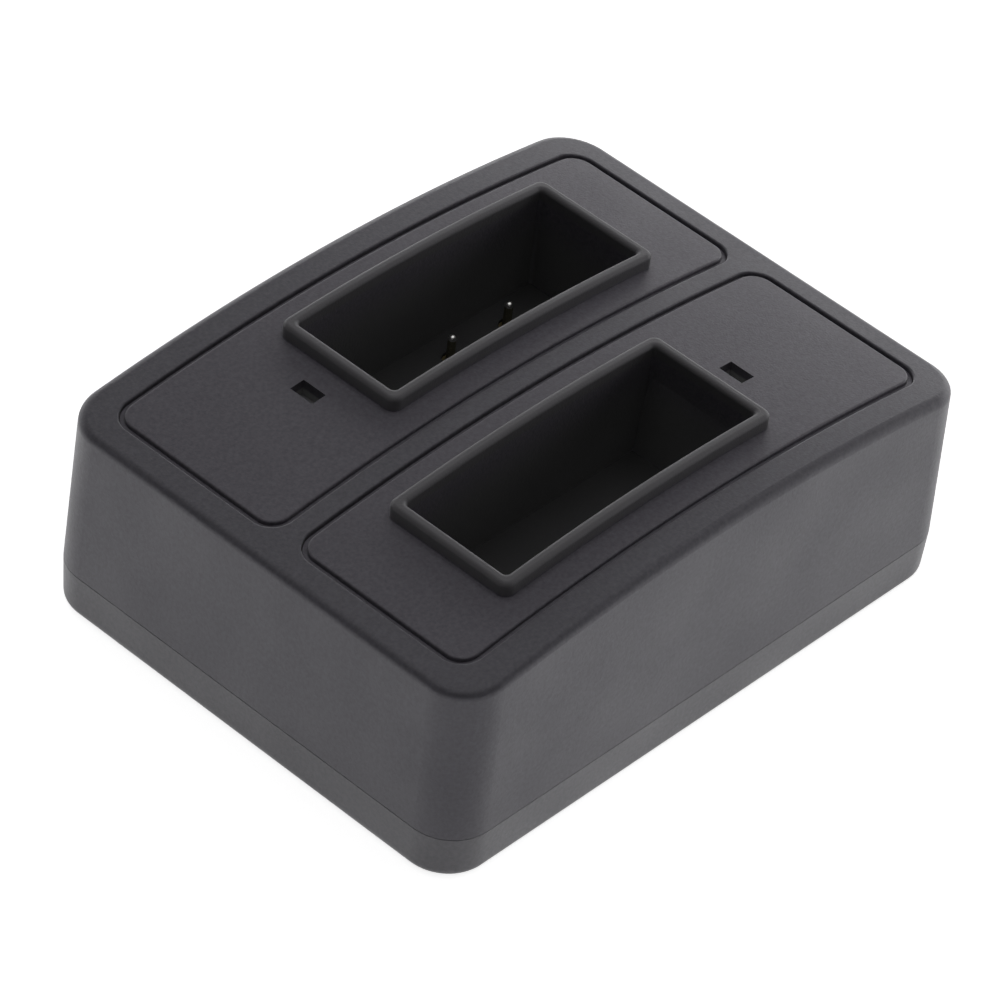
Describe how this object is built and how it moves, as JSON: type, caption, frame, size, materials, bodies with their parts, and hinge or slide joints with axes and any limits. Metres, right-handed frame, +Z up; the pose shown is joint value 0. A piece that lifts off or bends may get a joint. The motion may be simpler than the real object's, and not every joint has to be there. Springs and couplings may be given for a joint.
{
  "type": "camera battery charger",
  "caption": "Low charger box with an arched top: raised-rim battery pockets with sprung contact pins, small light windows, and a micro USB inlet in the back wall.",
  "frame": {"origin": "on the table under the middle of the base", "axes": "+X along the long side, +Y to the wall with the USB inlet, +Z up"},
  "size_m": [0.08, 0.061, 0.0304],
  "materials": {
    "housing_plastic": "fine moulded grain, satin black",
    "panel_plastic": "fine moulded grain, satin black",
    "light_guide": "smoky clear acrylic",
    "led": "milky resin",
    "board": "green solder mask",
    "socket_steel": "nickel-plated sheet",
    "chip_plastic": "moulded epoxy",
    "contact_metal": "gold flash",
    "pin_metal": "pale gold plating",
    "spring_steel": "drawn wire",
    "ferrite": "pressed ferrite",
    "can": "drawn can",
    "resistor": "glazed ceramic",
    "screw_steel": "zinc-plated"
  },
  "bodies": {
    "charger": {"top_housing": "housing_plastic", "base_cover": "housing_plastic", "rear_battery_panel": "panel_plastic", "front_battery_panel": "panel_plastic", "rear_light_guide": "light_guide", "front_light_guide": "light_guide", "rear_status_led": "led", "front_status_led": "led", "circuit_board": "board", "usb_shell": "socket_steel", "usb_tongue": "chip_plastic", "usb_contacts": "contact_metal", "rear_charge_controller": "chip_plastic", "front_charge_controller": "chip_plastic", "rear_boost_inductor": "ferrite", "front_boost_inductor": "ferrite", "rear_bulk_capacitor": "can", "front_bulk_capacitor": "can", "chip_resistors": "resistor", "housing_screws": "screw_steel", "board_screws": "screw_steel", "rear_positive_barrel": "contact_metal", "rear_positive_spring": "spring_steel", "rear_negative_barrel": "contact_metal", "rear_negative_spring": "spring_steel", "front_positive_barrel": "contact_metal", "front_positive_spring": "spring_steel", "front_negative_barrel": "contact_metal", "front_negative_spring": "spring_steel"},
    "rear_positive_pin": {"rear_positive_plunger": "pin_metal"},
    "rear_negative_pin": {"rear_negative_plunger": "pin_metal"},
    "front_positive_pin": {"front_positive_plunger": "pin_metal"},
    "front_negative_pin": {"front_negative_plunger": "pin_metal"}
  },
  "joints": [
    {"name": "rear_positive_press", "type": "slide", "parent": "charger", "child": "rear_positive_pin", "axis": [0, 0, -1], "range_m": [0, 0.0015], "stiffness_N_per_m": 250, "springref_m": -0.001, "deforming": ["rear_positive_spring"]},
    {"name": "rear_negative_press", "type": "slide", "parent": "charger", "child": "rear_negative_pin", "axis": [0, 0, -1], "range_m": [0, 0.0015], "stiffness_N_per_m": 250, "springref_m": -0.001, "deforming": ["rear_negative_spring"]},
    {"name": "front_positive_press", "type": "slide", "parent": "charger", "child": "front_positive_pin", "axis": [0, 0, -1], "range_m": [0, 0.0015], "stiffness_N_per_m": 250, "springref_m": -0.001, "deforming": ["front_positive_spring"]},
    {"name": "front_negative_press", "type": "slide", "parent": "charger", "child": "front_negative_pin", "axis": [0, 0, -1], "range_m": [0, 0.0015], "stiffness_N_per_m": 250, "springref_m": -0.001, "deforming": ["front_negative_spring"]}
  ]
}
